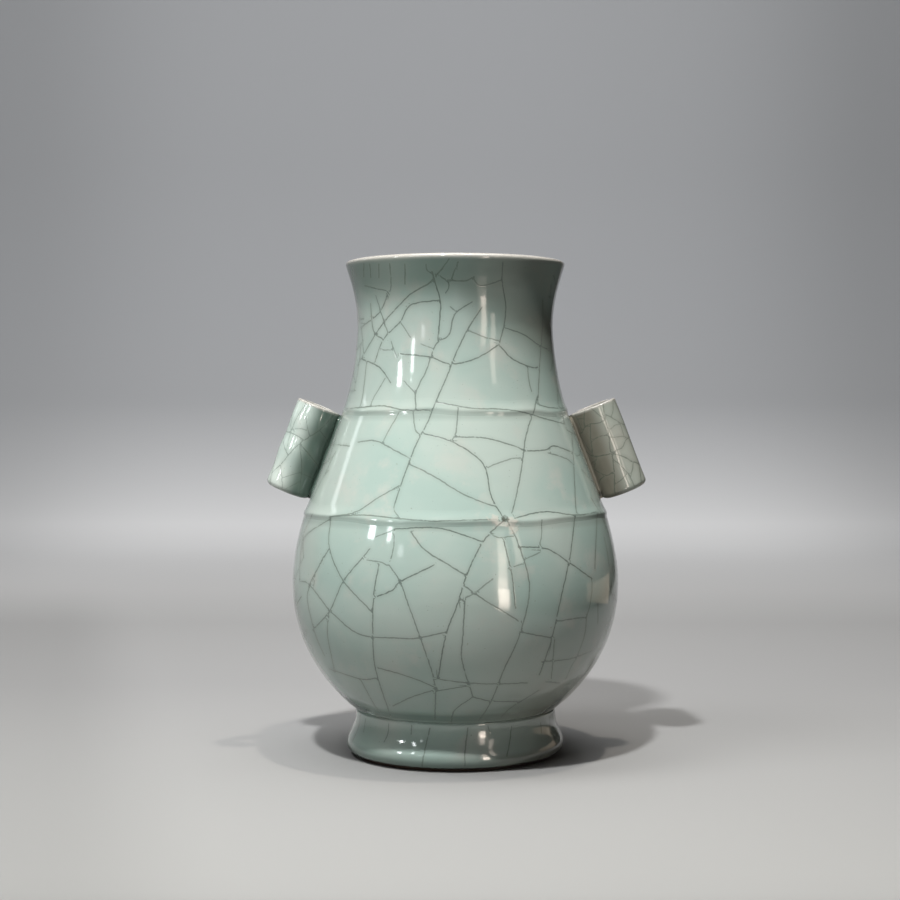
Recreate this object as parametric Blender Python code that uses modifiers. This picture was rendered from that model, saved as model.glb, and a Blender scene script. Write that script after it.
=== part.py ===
"""Arrow vase: a crackle-glazed stoneware vase with two tubular ears.

The vase is built as a potter builds it. Neck, shoulder and belly are thrown apart and joined end to end
with slip, a raised clay string is pressed into each of the two seams, a foot ring is luted under the
belly, and a tube of clay is luted along each side of the shoulder. The origin is the middle of the
foot, +Z is up, and the ears stand at +X and -X. Lengths are millimetres, times MM where they enter
the scene. A profile point is (radius, height).
"""

import math

import bmesh
import bpy
from mathutils import Vector

MM = 0.001
TURN_STEPS = 56
EAR_STEPS = 30
MERGE = 0.00001

# Driving dimensions
HEIGHT = 233.0
LIP_R = 51.6
WAIST_R = 46.2
WAIST_Z = 202.5
UPPER_SEAM = Vector((52.8, 163.0))
LOWER_SEAM = Vector((71.1, 115.0))
BELLY_R = 77.1
BELLY_Z = 81.0
FOOT_SEAM_Z = 20.4
FOOT_NECK_R = 47.2
FOOT_R = 51.0
WALL = 4.2

# Lip: a half round that closes the top of the neck, begun where the outer line ends
LIP_ROUND = WALL / 2
LIP_EDGE = Vector((LIP_R - 0.15, HEIGHT - 2.75))
LIP_STEPS = 5

# Seams: the two faces stay apart by a slip ring and a gap on either side of it
GAP = 0.3
SLIP_THICK = 0.5
SEAM_HALF = SLIP_THICK / 2 + GAP

# Strings: each lies in a V groove that is cut round its seam
GROOVE_HALF = 2.0
GROOVE_DEPTH = 1.8
STRING_HALF = 1.6
STRING_PROUD = 0.9
STRING_KEY = 1.2
STRING_STEPS = 6

# Floor and foot ring
FLOOR_TOP_Z = 26.0
FLOOR_UNDER_Z = 22.0
FOOT_SEAT_INNER_R = 38.6
FOOT_PAD_OUTER_R = 46.8
FOOT_PAD_INNER_R = 41.8
FOOT_BULGE_Z = 6.2
FOOT_GLAZE_END = Vector((49.4, 2.7))
FOOT_STEP = Vector((47.6, 2.3))
FOOT_INNER_ROUND = 2.4

# Ears: straight tubes, open at both ends, that lie along the slope of the shoulder
EAR_R = 10.6
EAR_BORE_R = 7.2
EAR_LENGTH = 43.5
EAR_DOWN_SLOPE = 24.2
EAR_MOUTH_ROUND = 0.9
EAR_TAIL_ROUND = 2.2
EAR_BORE_ROUND = 0.7
EAR_STAND_OFF = 1.1
LUTING_WIDTH = 7.5
LUTING_LENGTH = 39.0
LUTING_REACH = 6.0

# Directions along the straight slope of the shoulder
SLOPE_UP = (UPPER_SEAM - LOWER_SEAM).normalized()
SLOPE_OUT = Vector((SLOPE_UP.y, -SLOPE_UP.x))
SLOPE_ANGLE = math.atan2(-SLOPE_UP.x, SLOPE_UP.y)

# Finishes: linear colour and roughness
CELADON = (0.36, 0.46, 0.41, 1.0)
CELADON_ROUGHNESS = 0.14
SLIP_CLAY = (0.33, 0.27, 0.21, 1.0)
SLIP_ROUGHNESS = 0.8


def bezier(start, start_handle, end_handle, end, steps):
    """Points along a cubic curve, both ends included."""
    corners = [Vector(p) for p in (start, start_handle, end_handle, end)]
    points = []
    for i in range(steps + 1):
        t = i / steps
        weights = ((1 - t) ** 3, 3 * t * (1 - t) ** 2, 3 * t * t * (1 - t), t**3)
        points.append(sum((w * c for w, c in zip(weights, corners)), Vector((0, 0))))
    return points


def arc(centre, radius, start_deg, end_deg, steps):
    """Points along a circle's arc, both ends included; 0 degrees points away from the axis."""
    centre = Vector(centre)
    angles = [math.radians(start_deg + (end_deg - start_deg) * i / steps) for i in range(steps + 1)]
    return [centre + radius * Vector((math.cos(a), math.sin(a))) for a in angles]


def inward(points, distance):
    """The same line moved towards the axis, square to itself. The line runs down the outer side."""
    moved = []
    for i, point in enumerate(points):
        along = points[min(i + 1, len(points) - 1)] - points[max(i - 1, 0)]
        along.normalize()
        moved.append(point + distance * Vector((along.y, -along.x)))
    return moved


def radius_at(points, height):
    """Radius of a downward line at a height. Its first and last pieces run on straight."""
    pieces = list(zip(points, points[1:]))
    upper, lower = next((piece for piece in pieces if piece[1].y <= height), pieces[-1])
    share = (upper.y - height) / (upper.y - lower.y)
    return upper.x + share * (lower.x - upper.x)


def between(points, top, bottom):
    """The points of a downward line that lie strictly between two heights."""
    return [p for p in points if bottom < p.y < top]


# Outer and inner lines of the wall, from the lip to the foot
NECK_LINE = bezier(LIP_EDGE, (49.4, 223.5), (WAIST_R, 215.0), (WAIST_R, WAIST_Z), 6)
NECK_LINE += bezier((WAIST_R, WAIST_Z), (WAIST_R, 190.0), (49.4, 173.0), UPPER_SEAM, 6)[1:]
BELLY_LINE = bezier(LOWER_SEAM, (74.2, 104.7), (BELLY_R, 93.2), (BELLY_R, BELLY_Z), 5)
BELLY_FOOT = Vector((FOOT_NECK_R, FOOT_SEAM_Z + SEAM_HALF))
BELLY_LINE += bezier((BELLY_R, BELLY_Z), (BELLY_R, 58.6), (67.2, 37.5), BELLY_FOOT, 9)[1:]
SHOULDER_LINE = [UPPER_SEAM, LOWER_SEAM]
NECK_INSIDE = inward(NECK_LINE, WALL)
SHOULDER_INSIDE = inward(SHOULDER_LINE, WALL)
BELLY_INSIDE = inward(BELLY_LINE, WALL)


def finish(obj, colour, roughness):
    """Gives an object its own Principled material."""
    made = bpy.data.materials.new(obj.name + "_finish")
    made.use_nodes = True
    shader = made.node_tree.nodes["Principled BSDF"]
    shader.inputs["Base Color"].default_value = colour
    shader.inputs["Roughness"].default_value = roughness
    shader.inputs["Metallic"].default_value = 0.0
    obj.data.materials.append(made)


def glazed(obj):
    finish(obj, CELADON, CELADON_ROUGHNESS)


def bare_slip(obj):
    finish(obj, SLIP_CLAY, SLIP_ROUGHNESS)


def profile_mesh(name, points, closed):
    """A mesh of edges in the XZ plane."""
    mesh = bpy.data.meshes.new(name)
    shape = bmesh.new()
    verts = [shape.verts.new((p.x * MM, 0.0, p.y * MM)) for p in points]
    for a, b in zip(verts, verts[1:]):
        shape.edges.new((a, b))
    if closed:
        shape.edges.new((verts[-1], verts[0]))
    shape.to_mesh(mesh)
    shape.free()
    return mesh


def turned(name, points, collection, closed=True, steps=TURN_STEPS):
    """A profile turned round its own Z axis. It runs down the outer side."""
    obj = bpy.data.objects.new(name, profile_mesh(name, points, closed))
    collection.objects.link(obj)
    screw = obj.modifiers.new("Turn", "SCREW")
    screw.axis = "Z"
    screw.angle = math.tau
    screw.steps = steps
    screw.render_steps = steps
    screw.use_merge_vertices = True
    screw.merge_threshold = MERGE
    screw.use_smooth_shade = True
    return obj


def seam_edge(seam, line, inside, side):
    """Groove flank and seam face of a section, from outside to inside; side is 1 above the seam, -1 below."""
    level = seam.y + side * SEAM_HALF
    nearest = min((p for p in line if side * (p.y - seam.y) > GROOVE_HALF), key=lambda p: abs(p.y - seam.y))
    mouth = seam + GROOVE_HALF * (nearest - seam).normalized()
    root = Vector((seam.x - GROOVE_DEPTH, level))
    return [mouth, root, Vector((radius_at(inside, level), level))]


def make_neck(collection):
    """Waisted neck with a flared mouth, down to the upper seam."""
    seam = seam_edge(UPPER_SEAM, NECK_LINE, NECK_INSIDE, 1)
    outside = between(NECK_LINE, HEIGHT, seam[0].y)
    lip_out, lip_in = NECK_LINE[0], NECK_INSIDE[0]
    tilt = math.degrees(math.atan2(lip_out.y - lip_in.y, lip_out.x - lip_in.x))
    lip = arc((lip_out + lip_in) / 2, LIP_ROUND, tilt + 180, tilt, LIP_STEPS)[1:-1]
    inside = between(NECK_INSIDE, HEIGHT, seam[2].y)
    glazed(turned("neck", lip + outside + seam + inside[::-1], collection))


def make_shoulder(collection):
    """Straight-sided cone between the two seams, which carries the ears."""
    top = seam_edge(UPPER_SEAM, SHOULDER_LINE, SHOULDER_INSIDE, -1)
    bottom = seam_edge(LOWER_SEAM, SHOULDER_LINE, SHOULDER_INSIDE, 1)
    glazed(turned("shoulder", top[::-1] + bottom, collection))


def make_belly(collection):
    """Round belly with the vase's floor and the flat seat of the foot ring."""
    top = seam_edge(LOWER_SEAM, BELLY_LINE, BELLY_INSIDE, -1)
    inside = between(BELLY_INSIDE, top[2].y, FLOOR_TOP_Z + WALL)
    well = bezier(inside[-1], (44.0, FLOOR_TOP_Z + 0.6), (30.0, FLOOR_TOP_Z), (0.0, FLOOR_TOP_Z), 5)
    outside = between(BELLY_LINE, top[0].y, FOOT_SEAM_Z)
    seat = Vector((FOOT_SEAT_INNER_R, BELLY_FOOT.y))
    under = bezier(seat, (36.0, FLOOR_UNDER_Z), (20.0, FLOOR_UNDER_Z), (0.0, FLOOR_UNDER_Z), 3)
    points = well[::-1] + inside[-2::-1] + top[::-1] + outside + under
    glazed(turned("belly", points, collection, closed=False))


def make_foot_ring(collection):
    """Splayed ring with a full, rounded edge over a stepped-in pad that the vase stands on."""
    top_z = FOOT_SEAM_Z - SEAM_HALF
    flare = bezier((FOOT_NECK_R - 0.2, top_z), (47.2, 14.4), (FOOT_R + 0.1, 11.0), (FOOT_R, FOOT_BULGE_Z), 5)
    edge = bezier(flare[-1], (FOOT_R, 4.4), (FOOT_R - 0.5, 3.1), FOOT_GLAZE_END, 3)[1:]
    edge += [FOOT_STEP, Vector((FOOT_PAD_OUTER_R, 0.0))]
    heel = arc((FOOT_PAD_INNER_R, FOOT_INNER_ROUND), FOOT_INNER_ROUND, 270, 190, 3)
    inner_top = Vector((FOOT_SEAT_INNER_R, top_z))
    glazed(turned("foot_ring", flare + edge + heel + [inner_top], collection))


def make_string(name, seam, collection):
    """Raised clay string: a low crown outside the wall and a key that fills the groove."""
    top = seam + STRING_HALF * SLOPE_UP
    bottom = seam - STRING_HALF * SLOPE_UP
    rise = STRING_PROUD * 4 / 3 * SLOPE_OUT
    crown = bezier(top, top + rise, bottom + rise, bottom, STRING_STEPS)
    key = Vector((seam.x - STRING_KEY, seam.y))
    glazed(turned(name, crown + [key], collection))


def make_slip_ring(name, height, outer_r, inner_r, collection):
    """Thin ring of slip that holds two sections together."""
    upper, lower = height + SLIP_THICK / 2, height - SLIP_THICK / 2
    corners = [(inner_r, upper), (outer_r, upper), (outer_r, lower), (inner_r, lower)]
    bare_slip(turned(name, [Vector(c) for c in corners], collection))


def ear_centre():
    """Middle of the ear's bore, as a radius and a height."""
    on_slope = UPPER_SEAM - EAR_DOWN_SLOPE * SLOPE_UP
    return on_slope + (EAR_R + EAR_STAND_OFF) * SLOPE_OUT


def ear_profile():
    """Wall of the tube about its own axis: a crisp mouth above, a softer edge below."""
    top, bottom = EAR_LENGTH / 2, -EAR_LENGTH / 2
    mouth_bore = arc((EAR_BORE_R + EAR_BORE_ROUND, top - EAR_BORE_ROUND), EAR_BORE_ROUND, 180, 90, 2)
    mouth = arc((EAR_R - EAR_MOUTH_ROUND, top - EAR_MOUTH_ROUND), EAR_MOUTH_ROUND, 90, 0, 2)
    tail = arc((EAR_R - EAR_TAIL_ROUND, bottom + EAR_TAIL_ROUND), EAR_TAIL_ROUND, 0, -90, 3)
    tail_bore = arc((EAR_BORE_R + EAR_BORE_ROUND, bottom + EAR_BORE_ROUND), EAR_BORE_ROUND, -90, -180, 2)
    return mouth_bore + mouth + tail + tail_bore


def along_ear(obj, side):
    """Places an object on the ear's axis; side is 1 for the ear at +X and -1 for the other."""
    centre = ear_centre() * MM
    obj.location = (side * centre.x, 0.0, centre.y)
    obj.rotation_euler = (0.0, -side * SLOPE_ANGLE, 0.0)


def make_ear(name, side, collection):
    ear = turned(name, ear_profile(), collection, steps=EAR_STEPS)
    along_ear(ear, side)
    glazed(ear)


def subtract(obj, cutter):
    cut = obj.modifiers.new("Cut " + cutter.name, "BOOLEAN")
    cut.operation = "DIFFERENCE"
    cut.object = cutter


def as_cutter(obj):
    obj.hide_render = True
    obj.display_type = "WIRE"
    return obj


def make_shoulder_cutter(cutters):
    """The shoulder's cone with a gap added all round, run on past both seams."""
    past = 30.0
    high = UPPER_SEAM + past * SLOPE_UP + GAP * SLOPE_OUT
    low = LOWER_SEAM - past * SLOPE_UP + GAP * SLOPE_OUT
    points = [Vector((0.0, high.y)), high, low, Vector((0.0, low.y))]
    return as_cutter(turned("shoulder_cutter", points, cutters, closed=False))


def make_ear_cutter(name, side, cutters):
    """A plain rod of the ear's radius with a gap added, longer than the strip that it shapes."""
    radius, half = EAR_R + GAP, EAR_LENGTH
    points = [Vector(p) for p in ((0.0, half), (radius, half), (radius, -half), (0.0, -half))]
    rod = as_cutter(turned(name, points, cutters, closed=False, steps=EAR_STEPS))
    along_ear(rod, side)
    return rod


def make_luting(name, side, collection, cutters, shoulder_cutter):
    """Strip of slip between an ear and the shoulder, hollowed to the ear on one side and the wall on the other."""
    mesh = bpy.data.meshes.new(name)
    shape = bmesh.new()
    bmesh.ops.create_cube(shape, size=1.0)
    size = Vector((2 * LUTING_REACH, LUTING_WIDTH, LUTING_LENGTH)) * MM
    bmesh.ops.scale(shape, vec=size, verts=shape.verts)
    towards_wall = Vector((-side * (EAR_R + EAR_STAND_OFF / 2) * MM, 0.0, 0.0))
    bmesh.ops.translate(shape, vec=towards_wall, verts=shape.verts)
    shape.to_mesh(mesh)
    shape.free()
    strip = bpy.data.objects.new(name, mesh)
    collection.objects.link(strip)
    along_ear(strip, side)
    subtract(strip, make_ear_cutter(name + "_ear_cutter", side, cutters))
    subtract(strip, shoulder_cutter)
    bare_slip(strip)


def seam_inner_r(seam):
    """Inner end of a seam's slip ring, just short of the inside of the wall."""
    return seam.x - WALL / SLOPE_OUT.x + GAP


def main():
    for obj in list(bpy.data.objects):
        bpy.data.objects.remove(obj)
    vase = bpy.data.collections.new("arrow_vase")
    cutters = bpy.data.collections.new("cutters")
    for collection in (vase, cutters):
        bpy.context.scene.collection.children.link(collection)

    make_neck(vase)
    make_shoulder(vase)
    make_belly(vase)
    make_foot_ring(vase)
    for name, seam in (("upper", UPPER_SEAM), ("lower", LOWER_SEAM)):
        make_string(name + "_string", seam, vase)
        make_slip_ring(name + "_seam_slip", seam.y, seam.x - GROOVE_DEPTH, seam_inner_r(seam), vase)
    make_slip_ring("foot_seam_slip", FOOT_SEAM_Z, FOOT_NECK_R - 1.0, FOOT_SEAT_INNER_R + 1.0, vase)

    shoulder_cutter = make_shoulder_cutter(cutters)
    for name, side in (("right", 1), ("left", -1)):
        make_ear(name + "_ear", side, vase)
        make_luting(name + "_ear_luting", side, vase, cutters, shoulder_cutter)


main()
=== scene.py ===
# %% [markdown]
# # Arrow vase in crackled celadon
#
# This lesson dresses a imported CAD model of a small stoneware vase. The frame holds the thrown sections,
# the clay strings over their seams and the two tubular ears. Here they get a thick, soft glaze, its
# crackle, and the light of a plain studio. Clay is measured in millimetres here, as a potter would, and
# becomes metres, in the frame of the CAD model, when a mesh is made.

import math

import bpy
import numpy as np
from mathutils import Matrix, Vector, kdtree


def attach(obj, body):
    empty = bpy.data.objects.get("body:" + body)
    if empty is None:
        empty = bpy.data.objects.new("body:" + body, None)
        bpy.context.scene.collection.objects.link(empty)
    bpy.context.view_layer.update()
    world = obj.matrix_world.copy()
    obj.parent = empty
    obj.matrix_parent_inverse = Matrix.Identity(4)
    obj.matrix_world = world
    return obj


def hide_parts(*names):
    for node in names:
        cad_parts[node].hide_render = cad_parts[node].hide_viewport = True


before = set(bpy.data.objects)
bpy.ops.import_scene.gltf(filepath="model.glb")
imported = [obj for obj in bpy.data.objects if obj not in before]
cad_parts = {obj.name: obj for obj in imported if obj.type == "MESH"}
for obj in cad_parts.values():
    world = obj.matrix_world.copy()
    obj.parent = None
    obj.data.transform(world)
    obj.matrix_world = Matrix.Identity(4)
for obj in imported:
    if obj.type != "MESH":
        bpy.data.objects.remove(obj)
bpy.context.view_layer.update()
scene = bpy.context.scene
MM = 0.001
print("nodes:", ", ".join(sorted(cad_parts)))

# %% [markdown]
# ## Camera
#
# A long lens stands level with the upper string and tips down a little. The focal length is kept in
# pixels of a 900-pixel frame, because the cracks are placed later through the same numbers.

# %% Camera
FRAME_PX = 900
FOCAL_PX = 1727.0
HORIZON_PX = 406.0
AXIS_PX = 455.3
EYE_DISTANCE = 821 * MM
EYE_HEIGHT = 164.7 * MM
SENSOR_MM = 36.0
EYE = np.array([-(AXIS_PX - FRAME_PX / 2) / FOCAL_PX * EYE_DISTANCE, -EYE_DISTANCE, EYE_HEIGHT])
PITCH = math.atan((FRAME_PX / 2 - HORIZON_PX) / FOCAL_PX)

camera_data = bpy.data.cameras.new("camera")
camera_data.sensor_width = SENSOR_MM
camera_data.lens = FOCAL_PX / FRAME_PX * SENSOR_MM
camera = bpy.data.objects.new("camera", camera_data)
camera.location = EYE
camera.rotation_euler = (math.pi / 2 - PITCH, 0.0, 0.0)
scene.collection.objects.link(camera)
scene.camera = camera
scene.view_settings.view_transform = "Standard"
print(f"lens {camera_data.lens:.1f} mm, tipped {math.degrees(PITCH):.2f} degrees")

# %% [markdown]
# ## The thrown outline
#
# A potter reads the wall as a few long curves: the flared mouth, the waist of the neck, the straight
# slope of the shoulder, the full belly and the splayed foot. Each is one cubic curve or a line here,
# with the CAD model's own sizes, sampled finely so that highlights run smoothly. Only the crease above the
# foot sits 1.6 mm higher than the joint of the CAD model, as it does on the real vase.

# %% Outline
LIP_EDGE = (51.45, 230.25)
WAIST = (46.2, 202.5)
UPPER_SEAM = (52.8, 163.0)
LOWER_SEAM = (71.1, 115.0)
BELLY_MOST = (77.1, 81.0)
FOOT_SEAM = (47.4, 22.0)
FOOT_MOST = (51.6, 5.4)
FOOT_GLAZE_END = (49.9, 2.0)
FOOT_STEP = (47.8, 1.6)
FOOT_PAD = (41.8, 46.8)
WALL = 4.2
FLOOR_TOP = 26.0
FLOOR_UNDER = 22.0
FOOT_INNER_TOP = (38.6, 21.4)


def curve(start, start_handle, end_handle, end, count):
    """Points (radius, height) along a cubic curve, without its last point."""
    t = np.arange(count)[:, None] / count
    corners = [np.array(p, float) for p in (start, start_handle, end_handle, end)]
    weights = ((1 - t) ** 3, 3 * t * (1 - t) ** 2, 3 * t * t * (1 - t), t**3)
    return sum(w * c for w, c in zip(weights, corners))


def straight(start, end, count):
    """Points along a line, without its last point."""
    t = np.arange(count)[:, None] / count
    return (1 - t) * np.array(start, float) + t * np.array(end, float)


def inward(line, distance):
    """A downward line moved towards the axis, square to itself."""
    along = np.gradient(line, axis=0)
    along /= np.linalg.norm(along, axis=1)[:, None]
    return line + distance * np.stack([along[:, 1], -along[:, 0]], axis=1)


def arc(centre, radius, start_deg, end_deg, count):
    """Points on a circle between two angles, with both ends."""
    angles = np.radians(np.linspace(start_deg, end_deg, count))
    return np.array(centre) + radius * np.stack([np.cos(angles), np.sin(angles)], axis=1)


def rounded_end(start, end, blunt, count):
    """A half round from start to end, bulging to the left of that way; blunt below 1 squares its corners."""
    across = (np.array(end) - np.array(start)) / 2
    turn = np.linspace(math.pi, 0, count)[1:-1, None]
    side = np.sign(np.cos(turn)) * np.abs(np.cos(turn)) ** blunt
    up = np.sin(turn) ** blunt
    return (np.array(start) + np.array(end)) / 2 + side * across + up * np.array([-across[1], across[0]])


neck_line = np.vstack([
    curve(LIP_EDGE, (49.4, 223.5), (WAIST[0], 215.0), WAIST, 26),
    curve(WAIST, (WAIST[0], 190.0), (49.4, 173.0), UPPER_SEAM, 36),
    [UPPER_SEAM],
])
shoulder_line = np.vstack([straight(UPPER_SEAM, LOWER_SEAM, 44), [LOWER_SEAM]])
belly_line = np.vstack([
    curve(LOWER_SEAM, (74.2, 104.7), (BELLY_MOST[0], 93.2), BELLY_MOST, 30),
    curve(BELLY_MOST, (BELLY_MOST[0], 58.6), (67.2, 37.5), FOOT_SEAM, 66),
    [FOOT_SEAM],
])
foot_line = np.vstack([
    curve(FOOT_SEAM, (46.9, 12.2), (FOOT_MOST[0] - 0.5, 10.2), FOOT_MOST, 22),
    curve(FOOT_MOST, (FOOT_MOST[0], 4.0), (FOOT_MOST[0] - 0.5, 2.5), FOOT_GLAZE_END, 8),
    straight(FOOT_GLAZE_END, FOOT_STEP, 2),
    straight(FOOT_STEP, (FOOT_PAD[1], 0.0), 4),
    [(FOOT_PAD[1], 0.0)],
])
outline = np.vstack([neck_line, shoulder_line[1:], belly_line[1:], foot_line[1:]])


def radius_at(height_mm):
    """Outer radius of the vase at a height, both in millimetres."""
    return np.interp(height_mm, outline[::-1, 1], outline[::-1, 0])


print(f"outline of {len(outline)} points, widest {outline[:, 0].max():.1f} mm")

# %% [markdown]
# ## Where the crackle runs
#
# The glaze shrinks more than the clay and cracks as it cools; the potter then stains the cracks. A cell
# texture would make rooms of equal size, but real crackle splits one room after another, so a young
# crack always ends at an older one. On the front the cracks follow routes that were chosen as points in
# the 900-pixel frame. The neck comes first: it has the closest net, on its left.

# %% Routes on the neck
NECK_ROUTES = [
    [(472, 302), (455, 314), (449, 335), (436, 344), (426, 371), (416, 392), (416, 409)],
    [(482, 307), (468, 329), (456, 353), (447, 376), (436, 401), (428, 421), (415, 447), (404, 476),
     (395, 503)],
    [(400, 354), (430, 357), (450, 364), (475, 359), (499, 345)],
    [(502, 280), (506, 307), (504, 326), (499, 345)],
    [(469, 331), (488, 338), (500, 341)],
    [(499, 345), (513, 359), (531, 367), (540, 367)],
    [(505, 328), (523, 334), (539, 345), (552, 351)],
    [(543, 300), (543, 323), (540, 364), (538, 404)],
    [(528, 367), (529, 380), (532, 392)],
    [(442, 269), (429, 283), (411, 294), (392, 313), (378, 331), (365, 353), (358, 366)],
    [(388, 292), (380, 312), (361, 328)],
    [(440, 300), (411, 305), (400, 322), (384, 339), (375, 362)],
    [(362, 359), (379, 367), (391, 383)],
    [(386, 377), (374, 398), (371, 407)],
    [(367, 363), (364, 391), (361, 407)],
    [(401, 323), (410, 337)],
    [(371, 304), (374, 331), (383, 339)],
    [(376, 296), (385, 324), (388, 333)],
    [(432, 272), (440, 300), (440, 316), (438, 339)],
    [(440, 276), (449, 284), (446, 293)],
    [(458, 262), (451, 280)],
    [(390, 264), (391, 286), (388, 299)],
    [(379, 264), (379, 278)],
    [(405, 264), (405, 284)],
    [(473, 278), (481, 286), (502, 280)],
    [(404, 381), (415, 393)],
    [(364, 353), (362, 329)],
    [(370, 264), (371, 278)],
    [(364, 264), (364, 277)],
    [(365, 286), (378, 289), (387, 291)],
    [(426, 264), (427, 270), (432, 274)],
    [(442, 269), (449, 259)],
    [(457, 262), (457, 270)],
    [(440, 277), (448, 280), (464, 281), (474, 277)],
    [(503, 262), (502, 280)],
    [(421, 344), (432, 348)],
    [(391, 341), (394, 350), (397, 358)],
    [(383, 350), (394, 350)],
    [(450, 307), (457, 312)],
]
print(len(NECK_ROUTES), "routes on the neck")

# %% [markdown]
# Two long cracks come down over the shoulder from the neck, and shorter ones hang between them.

# %% Routes on the shoulder
SHOULDER_ROUTES = [
    [(395, 503), (394, 510), (399, 517)],
    [(358, 442), (376, 441), (396, 451), (409, 458)],
    [(330, 444), (350, 446)],
    [(399, 413), (387, 434), (383, 443)],
    [(413, 411), (415, 429), (420, 435)],
    [(421, 433), (450, 441), (474, 455), (486, 469), (491, 495), (502, 516)],
    [(458, 408), (456, 432), (451, 441)],
    [(454, 437), (485, 438), (511, 445), (524, 450)],
    [(486, 468), (511, 459), (523, 458)],
    [(538, 395), (533, 413), (526, 437), (522, 467), (516, 498), (512, 513)],
    [(524, 451), (545, 450), (554, 446), (572, 452)],
    [(545, 452), (565, 458), (572, 463)],
    [(572, 432), (574, 469), (576, 513)],
    [(409, 464), (435, 477), (461, 493), (487, 504), (496, 506)],
    [(399, 486), (378, 498), (356, 512), (330, 517)],
    [(515, 518), (544, 512), (576, 515), (596, 512)],
]
print(len(SHOULDER_ROUTES), "routes on the shoulder")

# %% [markdown]
# On the belly a star of cracks starts at a burst bubble on the lower string, and the longest run on
# nearly to the foot.

# %% Routes on the belly
BELLY_ROUTES = [
    [(332, 518), (306, 536), (301, 555), (300, 580)],
    [(331, 520), (330, 548), (344, 581), (372, 612)],
    [(330, 548), (315, 574), (310, 584)],
    [(370, 549), (344, 581), (330, 611), (313, 630)],
    [(300, 581), (310, 585), (330, 611)],
    [(310, 585), (308, 601), (316, 635), (325, 656)],
    [(330, 611), (328, 635), (335, 672)],
    [(330, 611), (359, 634), (395, 638), (418, 638), (446, 632)],
    [(379, 565), (374, 595), (373, 635), (376, 670), (391, 717)],
    [(376, 597), (393, 590), (400, 582), (434, 565)],
    [(389, 565), (400, 582), (410, 609), (425, 651), (435, 685), (435, 719)],
    [(504, 520), (483, 542), (466, 577), (458, 603), (446, 635), (438, 679)],
    [(465, 601), (463, 635), (462, 660), (473, 697)],
    [(463, 585), (486, 601), (519, 621)],
    [(493, 579), (473, 594), (459, 601)],
    [(507, 520), (519, 545), (530, 588), (520, 635), (504, 670), (492, 700), (479, 721)],
    [(504, 541), (512, 574), (516, 609)],
    [(492, 535), (500, 538), (512, 536)],
    [(519, 547), (547, 549), (570, 563), (594, 580)],
    [(526, 559), (541, 552)],
    [(508, 569), (525, 563)],
    [(542, 520), (542, 534), (540, 545)],
    [(575, 515), (571, 552), (560, 605), (551, 643), (540, 675)],
    [(520, 632), (551, 638)],
    [(559, 621), (587, 617)],
    [(587, 613), (585, 635), (576, 660)],
    [(542, 662), (570, 659), (592, 651)],
    [(555, 639), (553, 668)],
    [(379, 668), (410, 677), (437, 688)],
    [(437, 689), (412, 697), (393, 706)],
    [(437, 679), (469, 683), (498, 684), (528, 683)],
    [(437, 691), (467, 686)],
    [(473, 697), (491, 701), (521, 702)],
    [(473, 697), (455, 710), (451, 723)],
    [(330, 669), (361, 679), (376, 678)],
    [(361, 680), (373, 702), (380, 712)],
    [(540, 690), (511, 708), (502, 717)],
    [(546, 682), (561, 683)],
    [(395, 529), (437, 528), (469, 537), (483, 542)],
    [(411, 532), (425, 550), (450, 566), (465, 575)],
    [(394, 532), (394, 546), (391, 559)],
    [(330, 549), (322, 560), (316, 574), (314, 587)],
    [(366, 560), (380, 562), (388, 566)],
    [(376, 537), (386, 533), (395, 529)],
    [(597, 512), (596, 540), (595, 569)],
    [(604, 537), (607, 552), (609, 566)],
    [(592, 577), (592, 590), (590, 606), (587, 616)],
    [(598, 603), (598, 614), (598, 624)],
    [(553, 664), (552, 679)],
    [(576, 659), (570, 670), (566, 680)],
]
print(len(BELLY_ROUTES), "routes on the belly")

# %% [markdown]
# The strings have cracks that follow the clay coil. On the foot they are short and nearly upright.

# %% Routes on the strings and the foot
STRING_ROUTES = [
    [(346, 409), (382, 406), (404, 410), (430, 410)],
    [(436, 402), (470, 408), (498, 409), (522, 412), (539, 417), (565, 424)],
    [(539, 405), (552, 408), (568, 408)],
    [(330, 517), (362, 515), (395, 518), (430, 521), (470, 520), (497, 519)],
]
FOOT_ROUTES = [
    [(389, 723), (388, 734), (384, 742)],
    [(430, 728), (424, 754), (422, 767)],
    [(468, 727), (465, 752), (465, 766)],
    [(512, 726), (510, 742), (507, 756)],
    [(488, 726), (490, 734)],
    [(412, 725), (411, 734)],
    [(366, 719), (364, 732)],
    [(541, 723), (542, 733)],
]
print(len(STRING_ROUTES), "routes on the strings,", len(FOOT_ROUTES), "on the foot")

# %% [markdown]
# A picture projected on the vase would smear at its sides. So each route is rounded, goes back through
# the lens and becomes points on the wall itself.

# %% Routes onto the wall
ROUTE_STEP_PX = 0.6
SEARCH_NEAR = -85.0
SEARCH_FAR = 2.0
SEARCH_STEPS = 400


def smooth_route(points, step_px):
    """A route read at even steps along a Catmull-Rom curve through its points."""
    points = np.array(points, float)
    padded = np.vstack([2 * points[0] - points[1], points, 2 * points[-1] - points[-2]])
    pieces = []
    for a, b, c, d in zip(padded, padded[1:], padded[2:], padded[3:]):
        count = max(2, int(np.linalg.norm(c - b) / step_px))
        t = np.arange(count)[:, None] / count
        bend = (2 * a - 5 * b + 4 * c - d) * t**2 + (3 * b - a - 3 * c + d) * t**3
        pieces.append(b + 0.5 * ((c - a) * t + bend))
    return np.vstack(pieces + [points[-1:]])


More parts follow.
